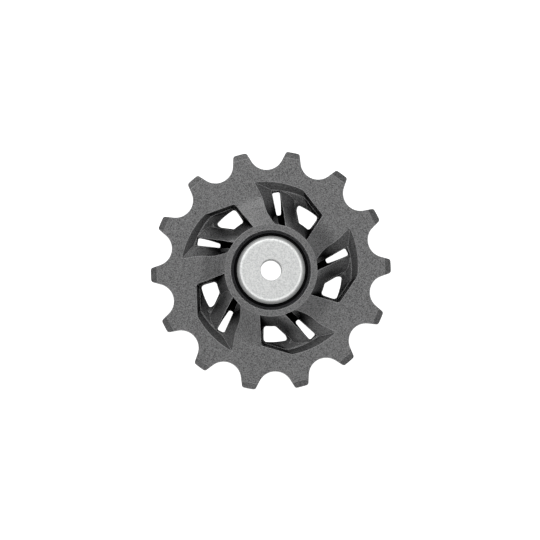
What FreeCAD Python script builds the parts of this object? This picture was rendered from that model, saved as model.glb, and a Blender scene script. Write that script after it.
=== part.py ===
import FreeCAD, Part
import math
import os

os.makedirs("parts", exist_ok=True)

# Jockey wheel of a rear derailleur, in millimetres.
# The wheel turns about Z, its show face looks along +Z, and the origin is
# the middle of the axle bore. Angles called turns run clockwise from +Y.

# Chain and teeth
chain_pitch = 12.7
tooth_count = 14
tooth_thickness = 2.1
tooth_phase = 2.2
seat_radius = 4.25
seat_offset = 0.29
flank_lean = 16.7
tip_radius = 29.25
tip_corner = 0.7
tip_bevel_width = 1.5
tip_bevel_depth = 0.55

# Hub and web
hub_width = 5.4
hub_ring_radius = 11.25
hub_waist_radius = 13.5
cone_foot_radius = 17.1
cone_foot_blend = 11.0
mouth_chamfer = 0.3

# Windows: the lip is the edge at the front, the floor is the ledge inside
window_count = 5
lip_radius = 21.47
lip_centre_shift = 1.36
lip_centre_turn = -82.0
lip_start_turn = -10.6
lip_shoulder_turn = 20.1
lip_corner_radius = 18.45
lip_corner_turn = 43.4
lip_end_turn = 49.7
lip_return_turn = 5.9
floor_radius = 19.75
floor_level = -0.1
floor_ledge = 0.2
floor_start_turn = 0.2
floor_return_turn = 8.9
shoulder_wall_run = 0.69
trailing_wall_run = 0.3
window_corner = 0.7

# How far window sides run on past the rim and the hub, as shares of a side,
# and the same for the blade's wall in the rear opening
rim_reach = 0.6
hub_reach = 0.03
rear_rim_reach = 3.0
rear_hub_reach = 1.2

# Opening in each window floor. Its walls lean in as they go down, each by
# its own run for every millimetre, and the rim's wall by a share of the way
# from the floor's edge to the hub's waist. Above the split level the opening
# spans the blade and the slot as well.
split_level = -0.75
rim_wall_share = 0.4265
shoulder_wall_lean = 0.58
trailing_wall_lean = 0.2
blade_wall_lean = 0.45

# Slot beside each blade: it goes through as far as its end, and is a blind
# recess from there to the hub. Its corners are a share of its narrow width.
slot_tip_radius = 19.5
slot_tip_turn = 3.9
slot_hub_turn = 16.3
slot_tip_width = 2.2
slot_hub_width = 1.45
slot_end_radius = 13.9
slot_wall_lean = 0.37
slot_corner_share = 0.48
slot_recess_level = -1.5

# Twisted blade in each window, at stations from the hub to the rim. Each has
# its share of the way out, the turns of its ridge and of its low edge, and,
# as shares of the blade's height, the level of the ridge, the fall to the low
# edge and the crown between them.
blade_hub_sink = 0.65
blade_rim_sink = 0.15
blade_stations = [
    dict(out=0.0, ridge=18.1, edge=38.8, height=1.0, fall=0.007, crown=0.004),
    dict(out=0.258, ridge=13.9, edge=29.5, height=0.839, fall=0.679, crown=0.179),
    dict(out=0.516, ridge=10.9, edge=23.4, height=0.536, fall=0.75, crown=0.071),
    dict(out=0.75, ridge=8.3, edge=19.7, height=0.257, fall=0.518, crown=0.05),
    dict(out=1.0, ridge=6.1, edge=16.8, height=0.0, fall=0.268, crown=0.029),
]

# Sealed ball bearing pressed into the hub
bearing_bore = 10.0
bearing_outside = 19.0
bearing_width = 5.0
race_chamfer = 0.2
ball_count = 11
ball_diameter = 2.381
ball_pitch_diameter = 14.5
groove_clearance = 0.04
shoulder_offset = 0.85
race_rim = 0.8
seal_thickness = 0.4
seal_inset = 0.25
seal_bead_width = 0.45
seal_web_sink = 0.12
seal_lip_clearance = 0.05

# Pressed ribbon cage, its front half folded round the rear one by tongues
cage_strip = 0.25
cage_width = 1.0
cage_pocket_clearance = 0.06
tongue_fold = 0.35
tongue_angle = 5.0

# Turned caps that carry the inner race on the axle bolt
axle_diameter = 5.1
cap_radius = 8.3
cap_face_radius = 7.65
cap_bevel_depth = 0.35
cap_flange = 0.9
cap_lift = 0.35
cap_shoulder_radius = 5.9
cap_bore_chamfer = 0.12

# How far cuts run past the metal, and how close counts as the same
overshoot = 0.5
flatness = 1e-6
same_place = 1e-3

# Sizes worked out from the ones above
pitch_radius = chain_pitch / (2 * math.sin(math.pi / tooth_count))
seat_centre_radius = pitch_radius + seat_offset
rim_half = tooth_thickness / 2
hub_half = hub_width / 2
bearing_seat_radius = bearing_outside / 2
bearing_half = bearing_width / 2
ball_radius = ball_diameter / 2
ball_pitch_radius = ball_pitch_diameter / 2
inner_shoulder_radius = ball_pitch_radius - shoulder_offset
outer_shoulder_radius = ball_pitch_radius + shoulder_offset
seal_seat_radius = bearing_seat_radius - race_rim
seal_floor = bearing_half - seal_inset - seal_thickness
web_inner_radius = (bearing_seat_radius + hub_ring_radius) / 2
cut_top = hub_half + overshoot
rim_wall_foot = -rim_half - overshoot / 2
blade_height = hub_half - floor_level
blade_hub_radius = hub_ring_radius - blade_hub_sink
blade_rim_radius = floor_radius + blade_rim_sink
tooth_step = 360 / tooth_count
AXIS = FreeCAD.Vector(0, 0, 1)
ORIGIN = FreeCAD.Vector(0, 0, 0)


def vec(x, y, z=0.0):
    return FreeCAD.Vector(x, y, z)


def at(radius, turn, z=0.0):
    """Point at a radius, turned clockwise from +Y, on the level z."""
    angle = math.radians(90 - turn)
    return vec(radius * math.cos(angle), radius * math.sin(angle), z)


def turned(profile, angle=360):
    """Solid of revolution about Z from (radius, z) pairs."""
    points = [vec(r, 0, z) for r, z in profile]
    face = Part.Face(Part.makePolygon(points + points[:1]))
    return face.revolve(ORIGIN, AXIS, angle)


def mirrored_profile(half):
    """Closed profile from its front half, listed from the inside out."""
    return half + [(r, -z) for r, z in reversed(half)]


def around(shape, count, start=0.0):
    """Copies of a shape, evenly spaced about Z."""
    copies = []
    for k in range(count):
        copy = shape.copy()
        copy.rotate(ORIGIN, AXIS, start + k * 360 / count)
        copies.append(copy)
    return copies


def core(low_points, low_z, high_points, high_z):
    """Mould core with straight walls between two levels."""
    low = [vec(p.x, p.y, low_z) for p in low_points]
    high = [vec(p.x, p.y, high_z) for p in high_points]
    faces = [Part.Face(Part.makePolygon(ring + ring[:1])) for ring in (low, high)]
    for k in range(len(low)):
        a, b = low[k - 1], low[k]
        c, d = high[k], high[k - 1]
        skew = abs((b - a).normalize().cross((d - a).normalize()).dot(c - a))
        if skew < flatness:
            faces.append(Part.Face(Part.makePolygon([a, b, c, d, a])))
        else:
            sides = [Part.LineSegment(a, b).toShape(), Part.LineSegment(d, c).toShape()]
            faces.append(Part.makeRuledSurface(*sides))
    solid = Part.makeSolid(Part.makeShell(faces))
    if solid.Volume < 0:
        solid.reverse()
    return solid


def round_corners(solid, corners, radius):
    """Round the upright edges of a core that start at the given plan points."""
    edges = []
    for edge in solid.Edges:
        ends = [v.Point for v in edge.Vertexes]
        if abs(ends[0].z - ends[-1].z) < flatness:
            continue
        if any(vec(e.x - c.x, e.y - c.y).Length < same_place for e in ends for c in corners):
            edges.append(edge)
    return solid.makeFillet(radius, edges)


def rounded_base(prism, level, radius):
    """Outline of a prism on its base level, after its uprights are rounded."""
    uprights = [e for e in prism.Edges if abs(e.Vertexes[0].Z - e.Vertexes[-1].Z) > flatness]
    rounded = prism.makeFillet(radius, uprights)
    return [f for f in rounded.Faces if f.BoundBox.ZMax < level + flatness][0].OuterWire


def line_crossing(p, p_dir, q, q_dir):
    """Plan point where two lines cross."""
    cross = p_dir.x * q_dir.y - p_dir.y * q_dir.x
    along = ((q.x - p.x) * q_dir.y - (q.y - p.y) * q_dir.x) / cross
    return p + p_dir * along


def inward(start, end, distance):
    """Shift to the right of a line that runs clockwise round an outline."""
    side = (end - start).normalize()
    return vec(side.y, -side.x) * distance


def chain_gap():
    """Roller seat with straight flanks, opened out past the tooth tips."""
    lean = math.radians(flank_lean + tooth_step / 2)
    touch = vec(seat_centre_radius - seat_radius * math.sin(lean), seat_radius * math.cos(lean))
    reach = (tip_radius + 2 * overshoot - touch.x) / math.cos(lean)
    outer = touch + vec(math.cos(lean), math.sin(lean)) * reach
    bottom = vec(seat_centre_radius - seat_radius, 0)
    low_touch, low_outer = [vec(p.x, -p.y) for p in (touch, outer)]
    edges = [
        Part.Arc(low_touch, bottom, touch).toShape(),
        Part.LineSegment(touch, outer).toShape(),
        Part.LineSegment(outer, low_outer).toShape(),
        Part.LineSegment(low_outer, low_touch).toShape(),
    ]
    face = Part.Face(Part.Wire(edges))
    face.translate(vec(0, 0, -rim_half - overshoot))
    return face.extrude(AXIS * (tooth_thickness + 2 * overshoot))


def tip_bevel():
    """Wedge that bevels the front of one tooth tip, straight across it."""
    start = tip_radius - tip_bevel_width - overshoot
    end = tip_radius + overshoot
    slope = tip_bevel_depth / tip_bevel_width
    points = [
        vec(start, -seat_radius, rim_half + slope * overshoot),
        vec(end, -seat_radius, rim_half - tip_bevel_depth - slope * overshoot),
        vec(end, -seat_radius, rim_half + overshoot),
        vec(start, -seat_radius, rim_half + overshoot),
    ]
    face = Part.Face(Part.makePolygon(points + points[:1]))
    return face.extrude(vec(0, 2 * seat_radius, 0))


def is_tip_corner(edge):
    """True for an upright edge at the tip radius."""
    ends = [v.Point for v in edge.Vertexes]
    if len(ends) != 2 or abs(ends[0].z - ends[1].z) < rim_half:
        return False
    return all(abs(math.hypot(p.x, p.y) - tip_radius) < same_place for p in ends)


def is_ring(edge, radius):
    """True for a circle about Z of the given radius."""
    curve = edge.Curve
    return isinstance(curve, Part.Circle) and abs(curve.Radius - radius) < same_place


def web_level(radius):
    """Height of the web's cone at a radius between the hub and its foot."""
    share = (radius - hub_ring_radius) / (cone_foot_radius - hub_ring_radius)
    return hub_half + (rim_half - hub_half) * share


def toothed_web():
    """Flat toothed rim and the cones that rise to the hub on both faces."""
    front = [(web_inner_radius, hub_half), (hub_ring_radius, hub_half),
             (cone_foot_radius, rim_half), (tip_radius, rim_half)]
    web = turned(mirrored_profile(front))
    feet = [e for e in web.Edges if is_ring(e, cone_foot_radius)]
    web = web.makeFillet(cone_foot_blend, feet)
    web = web.cut(around(chain_gap(), tooth_count, tooth_phase + tooth_step / 2))
    web = web.makeFillet(tip_corner, [e for e in web.Edges if is_tip_corner(e)])
    bevels = around(tip_bevel(), tooth_count, tooth_phase)
    return web.cut(bevels + [b.mirror(ORIGIN, AXIS) for b in bevels])


def window_lip():
    """Outline of a window at its front edge, carried past the rim and hub."""
    start = at(lip_radius, lip_start_turn)
    shoulder = at(lip_radius, lip_shoulder_turn)
    corner = at(lip_corner_radius, lip_corner_turn)
    end = at(hub_ring_radius, lip_end_turn)
    back = at(hub_ring_radius, lip_return_turn)
    return [start, shoulder, corner, end, back]


def offset_sides(lip, shoulder_shift, trailing_shift):
    """Shoulder, corner and hub end after both right-hand sides move inward."""
    start, shoulder, corner, end, back = lip
    side_a = corner - shoulder
    side_b = end - corner
    from_a = corner + inward(shoulder, corner, shoulder_shift)
    from_b = corner + inward(corner, end, trailing_shift)
    new_corner = line_crossing(from_a, side_a, from_b, side_b)
    outer = new_corner - side_a * (1 + rim_reach)
    return outer, new_corner, new_corner + side_b * (1 + hub_reach)


def pocket_bowl():
    """Leaning cone that the pocket's wall on the rim's side lies on."""
    rise = (cut_top - floor_level) / (rim_half - floor_level)
    centre = at(lip_centre_shift * rise, lip_centre_turn, cut_top)
    radius = floor_radius + (lip_radius - floor_radius) * rise
    rings = [Part.makeCircle(floor_radius, vec(0, 0, floor_level)), Part.makeCircle(radius, centre)]
    return Part.makeLoft([Part.Wire(r) for r in rings], True, True)


def window_pocket():
    """Sunk part of a window, from its lip down to the ledge round its floor."""
    lip = window_lip()
    start, shoulder, corner, end, back = lip
    foot_start = at(floor_radius, floor_start_turn)
    foot_back = at(hub_ring_radius, floor_return_turn)
    foot_side = foot_start - foot_back
    feet = [foot_start + foot_side * rim_reach]
    feet += offset_sides(lip, shoulder_wall_run, trailing_wall_run)
    feet += [foot_back - foot_side * hub_reach]
    lips = [start + (start - back) * rim_reach, shoulder + (shoulder - corner) * rim_reach,
            corner, end + (end - corner) * hub_reach, back + (back - start) * hub_reach]
    lip_levels = [rim_half, rim_half, rim_half, hub_half, hub_half]
    tops = []
    for foot, edge, level in zip(feet, lips, lip_levels):
        tops.append(foot + (edge - foot) * (cut_top - floor_level) / (level - floor_level))
    walls = round_corners(core(feet, floor_level, tops, cut_top), [feet[2]], window_corner)
    return walls.common(pocket_bowl())


def slot_outline(end_radius):
    """Slot between the leading wall and the blade, from its tip to an end."""
    tip = at(slot_tip_radius, slot_tip_turn)
    hub = at(web_inner_radius, slot_hub_turn)
    along = (tip - hub).normalize()
    across = vec(along.y, -along.x)
    share = (end_radius - web_inner_radius) / (slot_tip_radius - web_inner_radius)
    end = hub + (tip - hub) * share
    end_width = slot_hub_width + (slot_tip_width - slot_hub_width) * share
    tip_side = across * (slot_tip_width / 2)
    end_side = across * (end_width / 2)
    return [tip - tip_side, tip + tip_side, end + end_side, end - end_side]


def slot_foot(high, deep, tip_lean=0.0):
    """Slot outline on a deep level, from the one on the floor level."""
    lean = slot_wall_lean * (floor_level - deep)
    across = inward(high[0], high[3], lean)
    along = (high[3] - high[0]).normalize() * (lean * tip_lean)
    return [high[0] + along, high[1] + across + along, high[2] + across, high[3]]


def slot_through():
    """Through part of the slot, with round corners."""
    high = slot_outline(slot_end_radius)
    deep = -web_level(slot_end_radius) - overshoot
    low = slot_foot(high, deep, 1.0)
    radius = slot_corner_share * (low[2] - low[3]).Length
    cores = [(core(plan, z, plan, z + overshoot), z) for plan, z in ((low, deep), (high, floor_level))]
    return Part.makeLoft([rounded_base(prism, z, radius) for prism, z in cores], True, True)


def slot_recess():
    """Blind part of the slot, sunk into the hub."""
    outline = slot_outline(web_inner_radius)
    outline[:2] = slot_outline(slot_end_radius + slot_corner_share * slot_hub_width)[3:1:-1]
    foot = slot_foot(outline, slot_recess_level)
    recess = core(foot, slot_recess_level, outline, floor_level)
    recess = recess.fuse(core(outline, floor_level, outline, cut_top))
    return recess.cut(Part.makeCylinder(hub_ring_radius, 2 * cut_top, vec(0, 0, -cut_top)))


def opening_walls(level, left_top, left_bottom):
    """Outline of the opening at a level, right of the given left line."""
    depth = floor_level - level
    outer, corner, hub_end = offset_sides(
        window_lip(),
        shoulder_wall_run + floor_ledge + shoulder_wall_lean * depth,
        trailing_wall_run + floor_ledge + trailing_wall_lean * depth)
    side = left_top - left_bottom
    return [left_top + side * rim_reach, outer, corner, hub_end, left_bottom]


def bowl_radius(level):
    """Radius of the wall on the rim's side of the opening, at a level."""
    edge = floor_radius - floor_ledge
    share = rim_wall_share * (floor_level - level) / (floor_level - rim_wall_foot)
    return edge - share * (edge - hub_waist_radius)


def round_upright(solid, radius, first_turn):
    """Round the walls' corners outside the hub, from a turn on."""
    edges = []
    for edge in solid.Edges:
        ends = [v.Point for v in edge.Vertexes]
        if abs(ends[0].z - ends[-1].z) < flatness:
            continue
        outside = all(math.hypot(p.x, p.y) > hub_waist_radius - same_place for p in ends)
        if outside and math.degrees(math.atan2(ends[0].x, ends[0].y)) > first_turn:
            edges.append(edge)
    return solid.makeFillet(radius, edges)


def window_opening():
    """Part of a window between its floor ledge and the split level."""
    left_top, _, _, left_bottom = slot_outline(web_inner_radius)
    high = opening_walls(floor_level, left_top, left_bottom)
    low = opening_walls(split_level, left_top, left_bottom)
    bowl = Part.makeCone(bowl_radius(split_level), bowl_radius(floor_level),
                         floor_level - split_level, vec(0, 0, split_level))
    walls = core(low, split_level, high, floor_level).common(bowl)
    return round_upright(walls, window_corner, slot_hub_turn)


def rear_outline(level):
    """Straight sides of the rear opening: blade wall and trailing wall."""
    left_bottom, left_top = [at(station_radius(s), s["edge"]) for s in blade_stations[1:3]]
    side = left_top - left_bottom
    shift = inward(left_bottom, left_top, blade_wall_lean * (split_level - level))
    left_bottom = left_bottom + shift - side * rear_hub_reach
    left_top = left_top + shift + side * rear_rim_reach
    _, _, corner, hub_end, _ = opening_walls(level, left_top, left_bottom)
    return [left_top, corner + (corner - hub_end) * rim_reach, hub_end, left_bottom]


def rear_wire(level):
    """Outline of the rear opening at a level, its four corners rounded."""
    plan = rear_outline(level)
    base = vec(0, 0, level)
    rim_wall = Part.makeCylinder(bowl_radius(max(level, rim_wall_foot)), overshoot, base)
    hub_wall = Part.makeCylinder(hub_waist_radius, overshoot, base)
    prism = core(plan, level, plan, level + overshoot).common(rim_wall).cut(hub_wall)
    return rounded_base(prism, level, window_corner)


def rear_opening():
    """Opening below the split level, the rim's wall upright below its foot."""
    deep = -web_level(hub_waist_radius) - overshoot
    levels = (deep, rim_wall_foot, split_level)
    return Part.makeLoft([rear_wire(z) for z in levels], True, True)


def station_radius(station):
    """Radius of a blade station."""
    return blade_hub_radius + station["out"] * (blade_rim_radius - blade_hub_radius)


def blade():
    """Twisted blade that falls from its ridge to the large opening."""
    root = (split_level - rim_half) / 2
    sections = []
    for s in blade_stations:
        left = at(station_radius(s), s["ridge"])
        right = at(station_radius(s), s["edge"])
        middle = (left + right) / 2
        low_left = vec(left.x, left.y, root)
        low_right = vec(right.x, right.y, root)
        left.z = floor_level + s["height"] * blade_height
        right.z = left.z - s["fall"] * blade_height
        middle.z = left.z + (s["crown"] - s["fall"] / 2) * blade_height
        sections.append(Part.Wire([
            Part.LineSegment(low_left, left).toShape(),
            Part.Arc(left, middle, right).toShape(),
            Part.LineSegment(right, low_right).toShape(),
            Part.LineSegment(low_right, low_left).toShape(),
        ]))
    return Part.makeLoft(sections, True, False)


def wheel_body():
    """Moulded wheel: toothed web, windows with blades, and the hub."""
    hub = turned([(bearing_seat_radius + mouth_chamfer, hub_half), (hub_ring_radius, hub_half),
                  (hub_waist_radius, 0), (hub_ring_radius, -hub_half),
                  (bearing_seat_radius + mouth_chamfer, -hub_half),
                  (bearing_seat_radius, mouth_chamfer - hub_half),
                  (bearing_seat_radius, hub_half - mouth_chamfer)])
    body = toothed_web()
    for cut in (window_pocket(), window_opening()):
        body = body.cut(around(cut, window_count))
    body = body.fuse(around(blade(), window_count))
    for cut in (slot_through(), rear_opening()):
        body = body.cut(around(cut, window_count))
    body = body.fuse(hub).cut(around(slot_recess(), window_count))
    return body.removeSplitter()


def ball_groove():
    """Ring that the balls' grooves are cut with."""
    return Part.makeTorus(ball_pitch_radius, ball_radius + groove_clearance)


def outer_race():
    """Outer ring with its groove and the two seats for the seals."""
    outside = bearing_seat_radius
    half = [(outer_shoulder_radius, seal_floor), (seal_seat_radius, seal_floor),
            (seal_seat_radius, bearing_half), (outside - race_chamfer, bearing_half),
            (outside, bearing_half - race_chamfer)]
    return turned(mirrored_profile(half)).cut(ball_groove())


def inner_race():
    """Inner ring with its groove."""
    bore = bearing_bore / 2
    half = [(bore, bearing_half - race_chamfer), (bore + race_chamfer, bearing_half),
            (inner_shoulder_radius, bearing_half)]
    return turned(mirrored_profile(half)).cut(ball_groove())


def front_seal():
    """Rubber seal, thicker at its bead and its lip than between them."""
    lip = inner_shoulder_radius + seal_lip_clearance
    top = seal_floor + seal_thickness
    sunk = top - seal_web_sink
    return turned([(lip, seal_floor), (lip, top), (lip + seal_bead_width, top),
                   (lip + seal_bead_width, sunk), (seal_seat_radius - seal_bead_width, sunk),
                   (seal_seat_radius - seal_bead_width, top), (seal_seat_radius, top),
                   (seal_seat_radius, seal_floor)])


def ball_turns(start=0.0):
    """Turns of the balls, or of the gaps between them when start is a half."""
    return [(k + start) * 360 / ball_count for k in range(ball_count)]


def spoke_bars(radius):
    """Round bars that lie along the spokes of the cage, one at each ball."""
    bars = []
    for turn in ball_turns():
        foot = at(ball_pitch_radius - cage_width, turn)
        bars.append(Part.makeCylinder(radius, 2 * cage_width, foot, at(1, turn)))
    return bars


def cage_half():
    """Half of the cage: a flat ring that arches over each ball."""
    pocket = ball_radius + cage_pocket_clearance
    inside = ball_pitch_radius - cage_width / 2
    outside = ball_pitch_radius + cage_width / 2
    strip = turned([(inside, 0), (outside, 0), (outside, cage_strip), (inside, cage_strip)])
    height = pocket + cage_strip + overshoot
    band = turned([(inside, 0), (outside, 0), (outside, height), (inside, height)])
    arches = [bar.common(band) for bar in spoke_bars(pocket + cage_strip)]
    return strip.fuse(arches).removeSplitter().cut(spoke_bars(pocket))


def cage_front(half):
    """Front half of the cage with its tongues folded round the rear half."""
    outside = ball_pitch_radius + cage_width / 2
    tip = outside - tongue_fold
    tongue = turned([(outside, cage_strip), (outside + cage_strip, cage_strip),
                     (outside + cage_strip, -2 * cage_strip), (tip, -2 * cage_strip),
                     (tip, -cage_strip), (outside, -cage_strip)], tongue_angle)
    start = 90 - ball_turns(0.5)[0] - tongue_angle / 2
    return half.fuse(around(tongue, ball_count, start)).removeSplitter()


def front_cap():
    """Cap with a spigot in the inner race and a shoulder against it."""
    bore = axle_diameter / 2
    spigot = bearing_bore / 2
    under = bearing_half + cap_lift
    top = under + cap_flange
    return turned([(bore, 0), (spigot, 0), (spigot, bearing_half),
                   (cap_shoulder_radius, bearing_half), (cap_shoulder_radius, under),
                   (cap_radius, under), (cap_radius, top - cap_bevel_depth),
                   (cap_face_radius, top), (bore + cap_bore_chamfer, top),
                   (bore, top - cap_bore_chamfer)])


def make_nodes():
    """Every separate piece of the wheel, by name."""
    cap, seal, cage = front_cap(), front_seal(), cage_half()
    nodes = {
        "wheel_body": wheel_body(),
        "outer_race": outer_race(),
        "inner_race": inner_race(),
        "front_seal": seal,
        "rear_seal": seal.mirror(ORIGIN, AXIS),
        "cage_front": cage_front(cage),
        "cage_rear": cage.mirror(ORIGIN, AXIS),
        "front_cap": cap,
        "rear_cap": cap.mirror(ORIGIN, AXIS),
    }
    for number, turn in enumerate(ball_turns(), 1):
        ball = Part.makeSphere(ball_radius, at(ball_pitch_radius, turn))
        nodes[f"bearing_ball_{number:02d}"] = ball
    return nodes


for name, shape in make_nodes().items():
    print(name, len(shape.Solids), shape.isValid(), round(shape.Volume, 2))
    shape.exportStep(f"parts/{name}.step")
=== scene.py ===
"""Finishes, softened caps and seals, light and camera for a moulded jockey wheel."""

import logging
import math
from dataclasses import dataclass, field
from enum import Enum

import bpy
from mathutils import Matrix, Vector


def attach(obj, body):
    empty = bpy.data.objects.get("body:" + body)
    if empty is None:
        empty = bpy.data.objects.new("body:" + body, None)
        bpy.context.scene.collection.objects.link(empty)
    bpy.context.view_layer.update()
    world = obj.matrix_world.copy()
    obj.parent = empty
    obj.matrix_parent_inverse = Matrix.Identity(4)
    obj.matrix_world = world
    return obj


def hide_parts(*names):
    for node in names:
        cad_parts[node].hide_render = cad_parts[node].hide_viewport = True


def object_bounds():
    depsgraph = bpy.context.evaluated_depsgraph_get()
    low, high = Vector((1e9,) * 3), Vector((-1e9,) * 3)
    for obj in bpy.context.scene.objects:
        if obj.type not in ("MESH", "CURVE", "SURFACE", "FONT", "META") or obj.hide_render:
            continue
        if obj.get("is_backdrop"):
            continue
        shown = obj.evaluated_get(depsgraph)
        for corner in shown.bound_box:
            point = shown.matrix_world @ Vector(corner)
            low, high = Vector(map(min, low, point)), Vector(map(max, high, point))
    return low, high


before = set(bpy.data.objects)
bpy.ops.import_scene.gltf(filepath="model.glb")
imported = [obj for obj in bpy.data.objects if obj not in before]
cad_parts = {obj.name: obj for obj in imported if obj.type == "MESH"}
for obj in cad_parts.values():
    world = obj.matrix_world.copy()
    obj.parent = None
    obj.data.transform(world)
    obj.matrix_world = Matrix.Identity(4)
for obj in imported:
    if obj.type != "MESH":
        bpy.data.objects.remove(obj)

MM = 0.001
LOG = logging.getLogger("jockey_wheel")

# Two points of a section closer than this, in millimetres, get no face between them.
SAME_SPOT = 1e-9

# Detail of a noise that has specks in it and of a plain one, and the specks' strength.
SPECKLED_DETAIL = 2.0
PLAIN_DETAIL = 1.0
SPECK_STRENGTH = 0.6

Tree = bpy.types.NodeTree
Socket = bpy.types.NodeSocket
Corner = tuple[float, float, float]
SectionPoint = tuple[float, float, float, float]


class Side(Enum):
    """The two ends of the axle bore."""

    FRONT = "front"
    REAR = "rear"


def linear(colour: str) -> tuple[float, float, float, float]:
    """Turn an sRGB hex colour into linear light.

    Args:
        colour: Six hex digits after a hash sign.

    Returns:
        Linear red, green and blue, and full alpha.
    """
    parts = [int(colour[k : k + 2], 16) / 255 for k in (1, 3, 5)]
    parts = [c / 12.92 if c <= 0.04045 else ((c + 0.055) / 1.055) ** 2.4 for c in parts]
    return (*parts, 1.0)


def per_mm(size: float) -> float:
    """Texture scale at which one feature is size millimetres across."""
    return 1 / (size * MM)


def direction(off_axis: float, turn: float) -> Vector:
    """Give the direction that leads away from the middle of the wheel.

    Args:
        off_axis: Angle from the axle, in degrees.
        turn: Angle about the axle, in degrees anticlockwise from +X.

    Returns:
        The unit vector.
    """
    tilt, about = math.radians(off_axis), math.radians(turn)
    flat = math.sin(tilt)
    return Vector((flat * math.cos(about), flat * math.sin(about), math.cos(tilt)))


def add_node(
    tree: Tree, kind: str, inputs: dict | None = None, **settings: object
) -> bpy.types.Node:
    """Add a shader node with its settings, values and links.

    Args:
        tree: Node tree that gets the node.
        kind: Type name of the node, without its ShaderNode prefix.
        inputs: Value or output socket for each named or numbered input.
        **settings: Properties of the node itself.

    Returns:
        The new node.
    """
    node = tree.nodes.new(f"ShaderNode{kind}")
    for name, value in settings.items():
        setattr(node, name, value)
    for name, value in (inputs or {}).items():
        socket = node.inputs[name]
        if isinstance(value, Socket):
            tree.links.new(value, socket)
        else:
            socket.default_value = value
    return node


def ramp(tree: Tree, value: Socket, stops: list[tuple[float, str]]) -> Socket:
    """Colour a value by stops between 0 and 1.

    Args:
        tree: Node tree that gets the ramp.
        value: Socket that is coloured.
        stops: Place and sRGB hex colour of each stop, from low to high.

    Returns:
        The ramp's colour output.
    """
    node = add_node(tree, "ValToRGB", {"Fac": value})
    elements = node.color_ramp.elements
    while len(elements) < len(stops):
        elements.new(0.5)
    for element, (place, colour) in zip(elements, stops):
        element.position = place
        element.color = linear(colour)
    return node.outputs["Color"]


def new_material(name: str) -> tuple[bpy.types.Material, Tree]:
    """Make an empty node material.

    Args:
        name: Name of the material.

    Returns:
        The material and its node tree.
    """
    material = bpy.data.materials.new(name)
    material.use_nodes = True
    material.node_tree.nodes.clear()
    return material, material.node_tree


def output_surface(tree: Tree, shader: bpy.types.Node) -> None:
    """Link a shader to the material's surface."""
    add_node(tree, "OutputMaterial", {"Surface": shader.outputs[0]})


def axle_radius(tree: Tree, place: Socket) -> Socket:
    """Distance of a place from the axle's line, in metres.

    Args:
        tree: Node tree that gets the nodes.
        place: Socket with the object's own coordinates.

    Returns:
        The socket with the distance.
    """
    flat = add_node(
        tree, "VectorMath", {0: place, 1: (1.0, 1.0, 0.0)}, operation="MULTIPLY"
    ).outputs["Vector"]
    return add_node(tree, "VectorMath", {0: flat}, operation="LENGTH").outputs["Value"]


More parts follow.
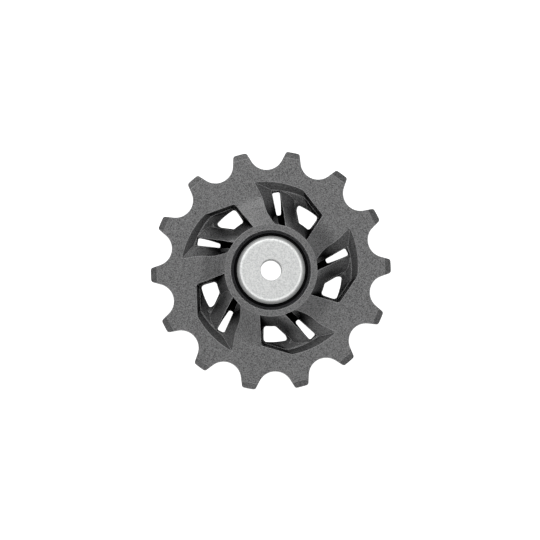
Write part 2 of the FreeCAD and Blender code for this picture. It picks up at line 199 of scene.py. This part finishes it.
@dataclass(frozen=True)
class MouldedNylon:
    """Glass-filled nylon 66, moulded in a spark-eroded tool.

    The body is nearly black, so most of its tone comes from a satin sheen that
    the texture breaks into fine grey speckle. Thin light lines are painted along
    the open edges round the windows and blades as painted highlights, while the
    hollows get painted shade: a duller sheen, and the deepest ones blackened.
    The real grain is finer than the picture can show, so it is drawn coarser.

    Sizes are in millimetres. A share of open air is the ambient occlusion: how
    much of the space over a place is free, within the reach of a hollow, which
    sets where shade and highlights are painted. A turn is the cosine of the
    angle between the plain normal and that of the rounded edge.
    """

    name: str = "glass_filled_nylon"
    dark: str = "#262627"
    light: str = "#3c3c3d"
    edge_highlight_tone: str = "#a4a4a5"
    painted_shade_tone: str = "#050505"
    grain: float = 0.24
    grain_spread: tuple[float, float] = (0.35, 0.65)
    mottle: float = 5.0
    mottle_share: float = 0.2
    refraction: float = 1.58
    roughness: float = 0.33
    roughness_swing: float = 0.08
    roughness_spread: tuple[float, float] = (0.3, 0.7)
    sheen: float = 0.57
    sheen_swing: float = 0.58
    bump_height: float = 0.05
    edge_radius: float = 0.2
    edge_highlight_strength: float = 0.9
    highlight_start_turn: float = 0.999
    highlight_full_turn: float = 0.97
    hollow_reach: float = 8.0
    unshaded_share: float = 0.97
    full_shade_share: float = 0.7
    shaded_gloss_share: float = 0.68
    samples: int = 6

    def body_colour(self, tree: Tree, place: Socket, grain: Socket) -> Socket:
        """Speckle the black body, a little unevenly over a few millimetres.

        Args:
            tree: Node tree that gets the nodes.
            place: Socket with the object's own coordinates.
            grain: Socket with the grain's noise.

        Returns:
            The socket with the body's colour.
        """
        mottle = add_node(
            tree, "TexNoise",
            {"Vector": place, "Scale": per_mm(self.mottle), "Detail": PLAIN_DETAIL},
        ).outputs["Fac"]
        mixed = add_node(
            tree, "Mix", {"Factor": self.mottle_share, "A": grain, "B": mottle},
            data_type="FLOAT",
        ).outputs["Result"]
        low, high = self.grain_spread
        return ramp(tree, mixed, [(low, self.dark), (high, self.light)])

    def skin_roughness(self, tree: Tree, grain: Socket) -> Socket:
        """Let the roughness of the skin follow its grain.

        Args:
            tree: Node tree that gets the node.
            grain: Socket with the grain's noise.

        Returns:
            The socket with the roughness.
        """
        low, high = self.roughness_spread
        return add_node(
            tree, "MapRange",
            {"Value": grain, "From Min": low, "From Max": high,
             "To Min": self.roughness - self.roughness_swing,
             "To Max": self.roughness + self.roughness_swing},
        ).outputs["Result"]

    def skin_gloss(self, tree: Tree, grain: Socket, openness: Socket) -> Socket:
        """Break the sheen by the grain, and lower it in the hollows as painted shade.

        Args:
            tree: Node tree that gets the nodes.
            grain: Socket with the grain's noise.
            openness: Socket with the share of air.

        Returns:
            The socket with the level of the specular reflection.
        """
        low, high = self.grain_spread
        sparkle = add_node(
            tree, "MapRange",
            {"Value": grain, "From Min": low, "From Max": high,
             "To Min": self.sheen * (1 - self.sheen_swing),
             "To Max": self.sheen * (1 + self.sheen_swing)},
        ).outputs["Result"]
        # Painted shade: the sheen fades out where ambient occlusion finds a hollow.
        gloss_in_open = add_node(
            tree, "MapRange",
            {"Value": openness, "From Min": self.shaded_gloss_share, "From Max": self.unshaded_share},
        ).outputs["Result"]
        return add_node(
            tree, "Math", {0: sparkle, 1: gloss_in_open}, operation="MULTIPLY"
        ).outputs["Value"]

    def edge_highlight_colour(self, tree: Tree, colour: Socket, rounded: Socket, openness: Socket) -> Socket:
        """Paint highlights on the rounded edges that stand in the open.

        Args:
            tree: Node tree that gets the nodes.
            colour: Socket with the colour under the painted highlights.
            rounded: Socket with the normal of the rounded edges.
            openness: Socket with the share of air.

        Returns:
            The socket with the colour and its painted edge highlights.
        """
        plain = add_node(tree, "NewGeometry").outputs["Normal"]
        turned = add_node(
            tree, "VectorMath", {0: plain, 1: rounded}, operation="DOT_PRODUCT"
        ).outputs["Value"]
        edge = add_node(
            tree, "MapRange",
            {"Value": turned, "From Min": self.highlight_start_turn, "From Max": self.highlight_full_turn,
             "To Max": self.edge_highlight_strength},
        ).outputs["Result"]
        # Painted highlight: open edges are lightened, as if they caught the light.
        highlight_amount = add_node(tree, "Math", {0: edge, 1: openness}, operation="MULTIPLY").outputs["Value"]
        return add_node(
            tree, "MixRGB", {"Fac": highlight_amount, "Color1": colour, "Color2": linear(self.edge_highlight_tone)}
        ).outputs["Color"]

    def painted_shade_colour(self, tree: Tree, colour: Socket, openness: Socket) -> Socket:
        """Paint shade into the hollows by blackening them.

        Args:
            tree: Node tree that gets the nodes.
            colour: Socket with the colour before the painted shade.
            openness: Socket with the share of air.

        Returns:
            The socket with the colour and its painted shade.
        """
        # Painted shade: the more occluded a place, the blacker it is painted.
        shade_amount = add_node(
            tree, "MapRange",
            {"Value": openness, "From Min": self.unshaded_share, "From Max": self.full_shade_share},
        ).outputs["Result"]
        return add_node(
            tree, "MixRGB",
            {"Fac": shade_amount, "Color1": colour, "Color2": linear(self.painted_shade_tone)},
        ).outputs["Color"]

    def build(self) -> bpy.types.Material:
        """Build the node material.

        Returns:
            The finished material.
        """
        material, tree = new_material(self.name)
        place = add_node(tree, "TexCoord").outputs["Object"]
        grain = add_node(
            tree, "TexNoise",
            {"Vector": place, "Scale": per_mm(self.grain), "Detail": SPECKLED_DETAIL,
             "Roughness": SPECK_STRENGTH},
        ).outputs["Fac"]
        # The ambient occlusion that places the painted shade counts only the part itself, not
        # the table under it.
        openness = add_node(
            tree, "AmbientOcclusion", {"Distance": self.hollow_reach * MM},
            samples=self.samples, only_local=True,
        ).outputs["AO"]
        rounded = add_node(
            tree, "Bevel", {"Radius": self.edge_radius * MM}, samples=self.samples
        ).outputs["Normal"]
        colour = self.body_colour(tree, place, grain)
        # Painted highlights on the open edges, then painted shade in the hollows.
        colour = self.edge_highlight_colour(tree, colour, rounded, openness)
        colour = self.painted_shade_colour(tree, colour, openness)
        bump = add_node(
            tree, "Bump",
            {"Distance": self.bump_height * MM, "Height": grain, "Normal": rounded},
        ).outputs["Normal"]
        output_surface(tree, add_node(
            tree, "BsdfPrincipled",
            {"Base Color": colour, "IOR": self.refraction, "Normal": bump,
             "Roughness": self.skin_roughness(tree, grain),
             "Specular IOR Level": self.skin_gloss(tree, grain, openness)},
        ))
        return material


@dataclass(frozen=True)
class BlastedAluminium:
    """Aluminium 6061, turned and bead blasted before a clear anodising.

    The blasting gives a bright even face with fine pepper in it. A painted
    highlight makes a lighter ring on the rounded edge of the face, and painted
    shade makes the bevel outside it a darker one. The real grit is finer
    than the picture can show, so it is drawn coarser.

    Sizes are in millimetres. Each ring of tone gives its radius from the axle
    and what the metal's colour is multiplied by.
    """

    name: str = "blasted_aluminium"
    dark: str = "#a6a7a7"
    light: str = "#bfc0bf"
    grit: float = 0.3
    grit_spread: tuple[float, float] = (0.35, 0.62)
    roughness: float = 0.55
    bump_height: float = 0.004
    edge_radius: float = 0.05
    samples: int = 4
    tone_reach: float = 10.0
    face: tuple[float, str] = (6.95, "#dfdfdf")
    # Painted highlight: a white ring on the rounded edge of the face.
    highlight_ring_start: tuple[float, str] = (7.25, "#ffffff")
    highlight_ring_end: tuple[float, str] = (7.5, "#ffffff")
    # Painted shade: the bevel is darkened.
    bevel: tuple[float, str] = (7.63, "#b6b6b6")

    def painted_light_rings(self, tree: Tree, place: Socket) -> Socket:
        """Give the face its tone, and paint a highlight ring on its edge and shade on the
        bevel.

        Args:
            tree: Node tree that gets the nodes.
            place: Socket with the object's own coordinates.

        Returns:
            The socket with the tone.
        """
        across = add_node(
            tree, "Math", {0: axle_radius(tree, place), 1: self.tone_reach * MM},
            operation="DIVIDE",
        ).outputs["Value"]
        rings = (self.face, self.highlight_ring_start, self.highlight_ring_end, self.bevel)
        return ramp(tree, across, [(radius / self.tone_reach, tone) for radius, tone in rings])

    def build(self) -> bpy.types.Material:
        """Build the node material.

        Returns:
            The finished material.
        """
        material, tree = new_material(self.name)
        place = add_node(tree, "TexCoord").outputs["Object"]
        grit = add_node(
            tree, "TexNoise",
            {"Vector": place, "Scale": per_mm(self.grit), "Detail": SPECKLED_DETAIL,
             "Roughness": SPECK_STRENGTH},
        ).outputs["Fac"]
        low, high = self.grit_spread
        colour = add_node(
            tree, "MixRGB",
            {"Fac": 1.0, "Color1": ramp(tree, grit, [(low, self.dark), (high, self.light)]),
             "Color2": self.painted_light_rings(tree, place)},
            blend_type="MULTIPLY",
        ).outputs["Color"]
        rounded = add_node(
            tree, "Bevel", {"Radius": self.edge_radius * MM}, samples=self.samples
        ).outputs["Normal"]
        bump = add_node(
            tree, "Bump",
            {"Distance": self.bump_height * MM, "Height": grit, "Normal": rounded},
        ).outputs["Normal"]
        output_surface(tree, add_node(
            tree, "BsdfPrincipled",
            {"Base Color": colour, "Metallic": 1.0, "Roughness": self.roughness,
             "Normal": bump},
        ))
        return material


@dataclass(frozen=True)
class SteelFinish:
    """Steel whose surface is told apart by its colours and its roughness.

    Fine rings about the axle, a lathe's or grinder's lay, break up the gloss.
    Inside a given radius the steel is painted nearly black, as painted shade in
    the narrow gap beside the cap. The real lay is finer than the picture can
    show, so it is drawn coarser.

    Sizes are in millimetres. The gap shade factor is what the painted shade
    leaves of the steel's own brightness.
    """

    name: str
    dark: str
    light: str
    roughness: float
    gap_shade_radius: float = 0.0
    gap_shade_edge: float = 0.1
    gap_shade_factor: float = 0.1
    lay: float = 0.12
    lay_spread: tuple[float, float] = (0.4, 0.6)
    bump_height: float = 0.001

    def build(self) -> bpy.types.Material:
        """Build the node material.

        Returns:
            The finished material.
        """
        material, tree = new_material(self.name)
        place = add_node(tree, "TexCoord").outputs["Object"]
        radius = axle_radius(tree, place)
        rings = add_node(
            tree, "TexNoise",
            {"W": radius, "Scale": per_mm(self.lay), "Detail": PLAIN_DETAIL},
            noise_dimensions="1D",
        ).outputs["Fac"]
        # Painted shade: inside the given radius the colour is multiplied down to the shade
        # factor.
        gap_shade = add_node(
            tree, "MapRange",
            {"Value": radius, "From Min": self.gap_shade_radius * MM,
             "From Max": (self.gap_shade_radius + self.gap_shade_edge) * MM, "To Min": self.gap_shade_factor},
        ).outputs["Result"]
        low, high = self.lay_spread
        colour = add_node(
            tree, "MixRGB",
            {"Fac": 1.0, "Color1": ramp(tree, rings, [(low, self.dark), (high, self.light)]),
             "Color2": gap_shade},
            blend_type="MULTIPLY",
        ).outputs["Color"]
        bump = add_node(
            tree, "Bump", {"Distance": self.bump_height * MM, "Height": rings}
        ).outputs["Normal"]
        output_surface(tree, add_node(
            tree, "BsdfPrincipled",
            {"Base Color": colour, "Metallic": 1.0, "Roughness": self.roughness,
             "Normal": bump},
        ))
        return material


@dataclass(frozen=True)
class SealRubber:
    """Nitrile rubber, moulded on a steel ring and wiped with chain lubricant.

    It is almost black and dull, a little lighter where the lubricant clouds it.
    Sizes are in millimetres.
    """

    name: str = "nitrile_rubber"
    dark: str = "#040404"
    light: str = "#0a0a0a"
    cloud: float = 0.5
    cloud_spread: tuple[float, float] = (0.35, 0.7)
    refraction: float = 1.52
    roughness: float = 0.75
    sheen: float = 0.04

    def build(self) -> bpy.types.Material:
        """Build the node material.

        Returns:
            The finished material.
        """
        material, tree = new_material(self.name)
        place = add_node(tree, "TexCoord").outputs["Object"]
        cloud = add_node(
            tree, "TexNoise",
            {"Vector": place, "Scale": per_mm(self.cloud), "Detail": SPECKLED_DETAIL},
        ).outputs["Fac"]
        low, high = self.cloud_spread
        output_surface(tree, add_node(
            tree, "BsdfPrincipled",
            {"Base Color": ramp(tree, cloud, [(low, self.dark), (high, self.light)]),
             "Roughness": self.roughness, "IOR": self.refraction,
             "Specular IOR Level": self.sheen},
        ))
        return material


def rounded_profile(corners: list[Corner], steps: int = 5) -> list[SectionPoint]:
    """Round the corners of a closed profile.

    Args:
        corners: Radius, height and corner radius of each corner, in
            millimetres, listed anticlockwise with the radius to the right.
        steps: Segments in each rounded corner.

    Returns:
        Radius, height and the two parts of the outward normal of each point.
        A corner without a radius gives two points, one for each side.
    """
    points: list[SectionPoint] = []
    count = len(corners)
    for k, (r, z, size) in enumerate(corners):
        here = Vector((r, z))
        before = (Vector(corners[k - 1][:2]) - here).normalized()
        after = (Vector(corners[(k + 1) % count][:2]) - here).normalized()
        normal_in = Vector((-before.y, before.x))
        normal_out = Vector((after.y, -after.x))
        if size <= 0:
            points += [(*here, *normal_in), (*here, *normal_out)]
            continue
        half = before.angle(after) / 2
        reach = size / math.tan(half)
        centre = here + (before + after).normalized() * (size / math.sin(half))
        start = here + before * reach - centre
        turn = start.angle_signed(here + after * reach - centre)
        for step in range(steps + 1):
            arm = Matrix.Rotation(-turn * step / steps, 2) @ start
            # In a hollow corner the arm points into the material.
            outward = arm if arm.dot(normal_in + normal_out) > 0 else -arm
            points.append((*(centre + arm), *outward.normalized()))
    return points


def lathe(name: str, profile: list[SectionPoint], segments: int = 160) -> bpy.types.Object:
    """Turn a closed profile about Z into a mesh with exact normals.

    Args:
        name: Name of the object.
        profile: Radius, height and outward normal of each point.
        segments: Steps round the axle.

    Returns:
        The new object, linked to the scene.
    """
    vertices, normals, faces = [], [], []
    for k in range(segments):
        c, s = math.cos(math.tau * k / segments), math.sin(math.tau * k / segments)
        for r, z, nr, nz in profile:
            vertices.append((r * c * MM, r * s * MM, z * MM))
            normals.append((nr * c, nr * s, nz))
    count = len(profile)
    for k in range(segments):
        this, following = k * count, (k + 1) % segments * count
        for j in range(count):
            after = (j + 1) % count
            if math.dist(profile[j][:2], profile[after][:2]) < SAME_SPOT:
                continue
            faces.append((this + j, following + j, following + after, this + after))
    mesh = bpy.data.meshes.new(name)
    mesh.from_pydata(vertices, [], faces)
    mesh.shade_smooth()
    mesh.normals_split_custom_set_from_vertices(normals)
    mesh.validate()
    piece = bpy.data.objects.new(name, mesh)
    bpy.context.scene.collection.objects.link(piece)
    return piece


def turned_piece(name: str, corners: list[Corner], side: Side) -> bpy.types.Object:
    """Turn a piece that is drawn for the front, and swing the rear one round.

    Args:
        name: Name of the object.
        corners: Corners of its section, with their radii.
        side: End of the bore at which it sits.

    Returns:
        The new object, linked to the scene.
    """
    piece = lathe(name, rounded_profile(corners))
    if side is Side.REAR:
        piece.rotation_euler = (math.pi, 0, 0)
    return piece


def dress(piece: bpy.types.Object, material: bpy.types.Material) -> None:
    """Give a piece its material and log the pair.

    Args:
        piece: Object that is dressed.
        material: Its only material.
    """
    piece.data.materials.clear()
    piece.data.materials.append(material)
    LOG.info("%s: %s", piece.name, material.name)


def stand_for(piece: bpy.types.Object, node: str, body: str) -> None:
    """Let a piece stand for a CAD node and ride with that node's body."""
    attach(piece, body)
    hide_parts(node)


@dataclass
class ToothedWheel:
    """The moulded wheel itself, one piece from hub to teeth."""

    node: str = "wheel_body"
    finish: MouldedNylon = field(default_factory=MouldedNylon)

    def build(self) -> None:
        """Dress the moulding."""
        dress(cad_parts[self.node], self.finish.build())


@dataclass
class EndCap:
    """Turned cap that carries the inner race, with softened edges.

    Radii and heights are in millimetres from the middle of the wheel. Each
    round is the radius of a softened corner. The face is a hair under the
    frame's own 3.75, so that it never stands out of the part's box.
    """

    side: Side
    bore: float = 2.55
    spigot: float = 5.0
    bearing_face: float = 2.5
    shoulder: float = 5.9
    flange_back: float = 2.85
    outside: float = 8.3
    face: float = 3.749
    rim_start: float = 7.3
    edge_width: float = 0.35
    rim_level: float = 3.62
    edge_level: float = 3.3
    spigot_round: float = 0.05
    flange_round: float = 0.08
    edge_round: float = 0.2
    rim_round: float = 0.6
    face_round: float = 0.5
    bore_round: float = 0.14

    def corners(self) -> list[Corner]:
        """List the corners of the section.

        Returns:
            Radius, height and corner radius of each.
        """
        return [
            (self.bore, 0.0, 0.0),
            (self.spigot, 0.0, self.spigot_round),
            (self.spigot, self.bearing_face, 0.0),
            (self.shoulder, self.bearing_face, self.spigot_round),
            (self.shoulder, self.flange_back, 0.0),
            (self.outside, self.flange_back, self.flange_round),
            (self.outside, self.edge_level, self.edge_round),
            (self.outside - self.edge_width, self.rim_level, self.rim_round),
            (self.rim_start, self.face, self.face_round),
            (self.bore, self.face, self.bore_round),
        ]

    def build(self, material: bpy.types.Material) -> None:
        """Turn the cap and put it in place.

        Args:
            material: Finish of both caps.
        """
        label = self.side.value
        piece = turned_piece(f"{label}_cap_turned", self.corners(), self.side)
        dress(piece, material)
        stand_for(piece, f"{label}_cap", "axle_core")


@dataclass
class Seal:
    """Rubber seal with a round bead at its rim and a thin lip inside.

    Radii and heights are in millimetres from the middle of the wheel. Each
    round is the radius of a softened corner.
    """

    side: Side
    lip: float = 6.45
    seat: float = 8.7
    back: float = 1.85
    face: float = 2.25
    web: float = 2.13
    bead: float = 0.45
    bead_slope: float = 0.08
    back_round: float = 0.05
    seat_round: float = 0.1
    bead_round: float = 0.08
    web_round: float = 0.06

    def corners(self) -> list[Corner]:
        """List the corners of the section.

        Returns:
            Radius, height and corner radius of each.
        """
        outer, inner = self.seat - self.bead, self.lip + self.bead
        return [
            (self.lip, self.back, self.back_round),
            (self.seat, self.back, self.back_round),
            (self.seat, self.face, self.seat_round),
            (outer, self.face, self.bead_round),
            (outer - self.bead_slope, self.web, self.web_round),
            (inner + self.bead_slope, self.web, self.web_round),
            (inner, self.face, self.bead_round),
            (self.lip, self.face, self.bead_round),
        ]

    def build(self, material: bpy.types.Material) -> None:
        """Mould the seal and put it in place.

        Args:
            material: Finish of both seals.
        """
        label = self.side.value
        piece = turned_piece(f"{label}_seal_moulded", self.corners(), self.side)
        dress(piece, material)
        stand_for(piece, f"{label}_seal", "wheel")


@dataclass
class SealedBearing:
    """Races, balls, cage and seals of the cartridge bearing."""

    # The race is painted nearly black inside 9.05 mm, painted shade in the gap beside the cap.
    race: SteelFinish = SteelFinish(
        "blackened_bearing_steel", dark="#040404", light="#3a3a3c", roughness=0.3,
        gap_shade_radius=9.05, lay=0.25,
    )
    ball: SteelFinish = SteelFinish(
        "lapped_ball_steel", dark="#b4b5b8", light="#c4c5c8", roughness=0.08
    )
    cage: SteelFinish = SteelFinish(
        "pressed_steel_strip", dark="#8d8a82", light="#a3a099", roughness=0.32
    )
    rubber: SealRubber = field(default_factory=SealRubber)

    def build(self) -> None:
        """Dress the steel pieces and build the two seals."""
        race, ball, cage = (f.build() for f in (self.race, self.ball, self.cage))
        for name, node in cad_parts.items():
            if name.endswith("_race"):
                dress(node, race)
            elif name.startswith("bearing_ball"):
                dress(node, ball)
            elif name.startswith("cage_"):
                dress(node, cage)
        rubber = self.rubber.build()
        for side in Side:
            Seal(side).build(rubber)


@dataclass(frozen=True)
class Softbox:
    """Square soft light, placed by its angle off the axle and its turn.

    The turn is measured anticlockwise from +X, in degrees like the angle. The
    power is in watts, and the size and the distance are in metres.
    """

    name: str
    off_axis: float
    turn: float
    power: float
    size: float = 0.28
    distance: float = 0.6

    def build(self) -> None:
        """Hang the light and point it at the wheel."""
        towards = direction(self.off_axis, self.turn)
        data = bpy.data.lights.new(self.name, "AREA")
        data.size = self.size
        data.energy = self.power
        light = bpy.data.objects.new(self.name, data)
        light.location = towards * self.distance
        light.rotation_euler = towards.to_track_quat("Z", "Y").to_euler()
        bpy.context.scene.collection.objects.link(light)
        light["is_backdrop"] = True


@dataclass
class Studio:
    """White table, soft lights and the camera over the wheel.

    The table's level and reach are in metres, the camera's sizes and places
    in millimetres, and angles in degrees. The glow is how white the table
    shows, and the ambient is the strength of the sky on the wheel.
    """

    floor_level: float
    floor_reach: float = 3.0
    floor_colour: str = "#d8d8d8"
    glow: float = 0.96
    ambient: float = 0.12
    camera_lean: float = 3.0
    camera_turn: float = 253.0
    camera_distance: float = 1200.0
    camera_clearance: float = 10.0
    sensor_width: float = 36.0
    frame_width: float = 131.5
    aim: tuple[float, float, float] = (-0.2, 0.15, 0.0)
    lights: tuple[Softbox, ...] = (
        Softbox("key_light", off_axis=28.0, turn=106.0, power=1.56),
        Softbox("fill_light", off_axis=14.0, turn=335.0, power=0.56),
        Softbox("low_light", off_axis=26.0, turn=262.0, power=0.272),
        Softbox("left_light", off_axis=26.0, turn=180.0, power=0.08),
        Softbox("side_light", off_axis=50.0, turn=240.0, power=0.32),
    )

    def seen_white(self, tree: Tree) -> Socket:
        """Tell the rays that show white from those that only light the wheel.

        Args:
            tree: Node tree that gets the nodes.

        Returns:
            The socket with 1 for rays of camera, mirror and glass, else 0.
        """
        path = add_node(tree, "LightPath").outputs
        seen = path["Is Camera Ray"]
        for ray in ("Is Glossy Ray", "Is Transmission Ray"):
            seen = add_node(
                tree, "Math", {0: seen, 1: path[ray]}, operation="MAXIMUM"
            ).outputs["Value"]
        return seen

    def white_surface(self, tree: Tree, shader: bpy.types.Node) -> bpy.types.Node:
        """Add the glow of the white table to its own shader.

        Args:
            tree: Node tree that gets the nodes.
            shader: The table's own shader.

        Returns:
            The two added together.
        """
        strength = add_node(
            tree, "Math", {0: self.seen_white(tree), 1: self.glow}, operation="MULTIPLY"
        ).outputs["Value"]
        glow = add_node(tree, "Emission", {"Strength": strength})
        return add_node(tree, "AddShader", {0: shader.outputs[0], 1: glow.outputs[0]})

    def floor(self) -> None:
        """Lay the white table under the rear cap."""
        reach, level = self.floor_reach, self.floor_level
        mesh = bpy.data.meshes.new("floor")
        corners = [(-reach, -reach), (reach, -reach), (reach, reach), (-reach, reach)]
        mesh.from_pydata([(x, y, level) for x, y in corners], [], [(0, 1, 2, 3)])
        table = bpy.data.objects.new("floor", mesh)
        bpy.context.scene.collection.objects.link(table)
        table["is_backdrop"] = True
        material, tree = new_material("white_table")
        matt = add_node(tree, "BsdfDiffuse", {"Color": linear(self.floor_colour)})
        output_surface(tree, self.white_surface(tree, matt))
        mesh.materials.append(material)

    def world(self) -> None:
        """Light everything dimly, and show white to camera, mirrors and glass."""
        world = bpy.data.worlds.new("studio")
        world.use_nodes = True
        tree = world.node_tree
        tree.nodes.clear()
        strength = add_node(
            tree, "MapRange",
            {"Value": self.seen_white(tree), "To Min": self.ambient, "To Max": 1.0},
        ).outputs["Result"]
        sky = add_node(
            tree, "Background", {"Color": linear("#ffffff"), "Strength": strength}
        )
        add_node(tree, "OutputWorld", {"Surface": sky.outputs[0]})
        bpy.context.scene.world = world

    def camera(self) -> None:
        """Place the camera at the photograph's angle, with +Y up the frame."""
        back = direction(self.camera_lean, self.camera_turn)
        right = Vector((0, 1, 0)).cross(back).normalized()
        up = back.cross(right)
        data = bpy.data.cameras.new("camera")
        data.sensor_width = self.sensor_width
        data.lens = self.sensor_width * self.camera_distance / self.frame_width
        data.clip_start = self.camera_clearance * MM
        camera = bpy.data.objects.new("camera", data)
        spot = (Vector(self.aim) + back * self.camera_distance) * MM
        camera.matrix_world = Matrix.Translation(spot) @ Matrix(
            (right, up, back)
        ).transposed().to_4x4()
        bpy.context.scene.collection.objects.link(camera)
        bpy.context.scene.camera = camera

    def build(self) -> None:
        """Set up the whole studio."""
        self.floor()
        self.world()
        for light in self.lights:
            light.build()
        self.camera()
        bpy.context.scene.view_settings.view_transform = "Standard"
        LOG.info("studio: %d lights", len(self.lights))


def plain_bounds() -> list[list[float]]:
    """Give the part's present box as plain lists."""
    return [[float(v) for v in corner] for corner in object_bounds()]


def main() -> None:
    """Build the pieces in order."""
    logging.basicConfig(level=logging.INFO, format="%(message)s")
    cad_box = plain_bounds()
    ToothedWheel().build()
    SealedBearing().build()
    aluminium = BlastedAluminium().build()
    for side in Side:
        EndCap(side).build(aluminium)
    Studio(floor_level=cad_box[0][2]).build()


if __name__ == "__main__":
    main()
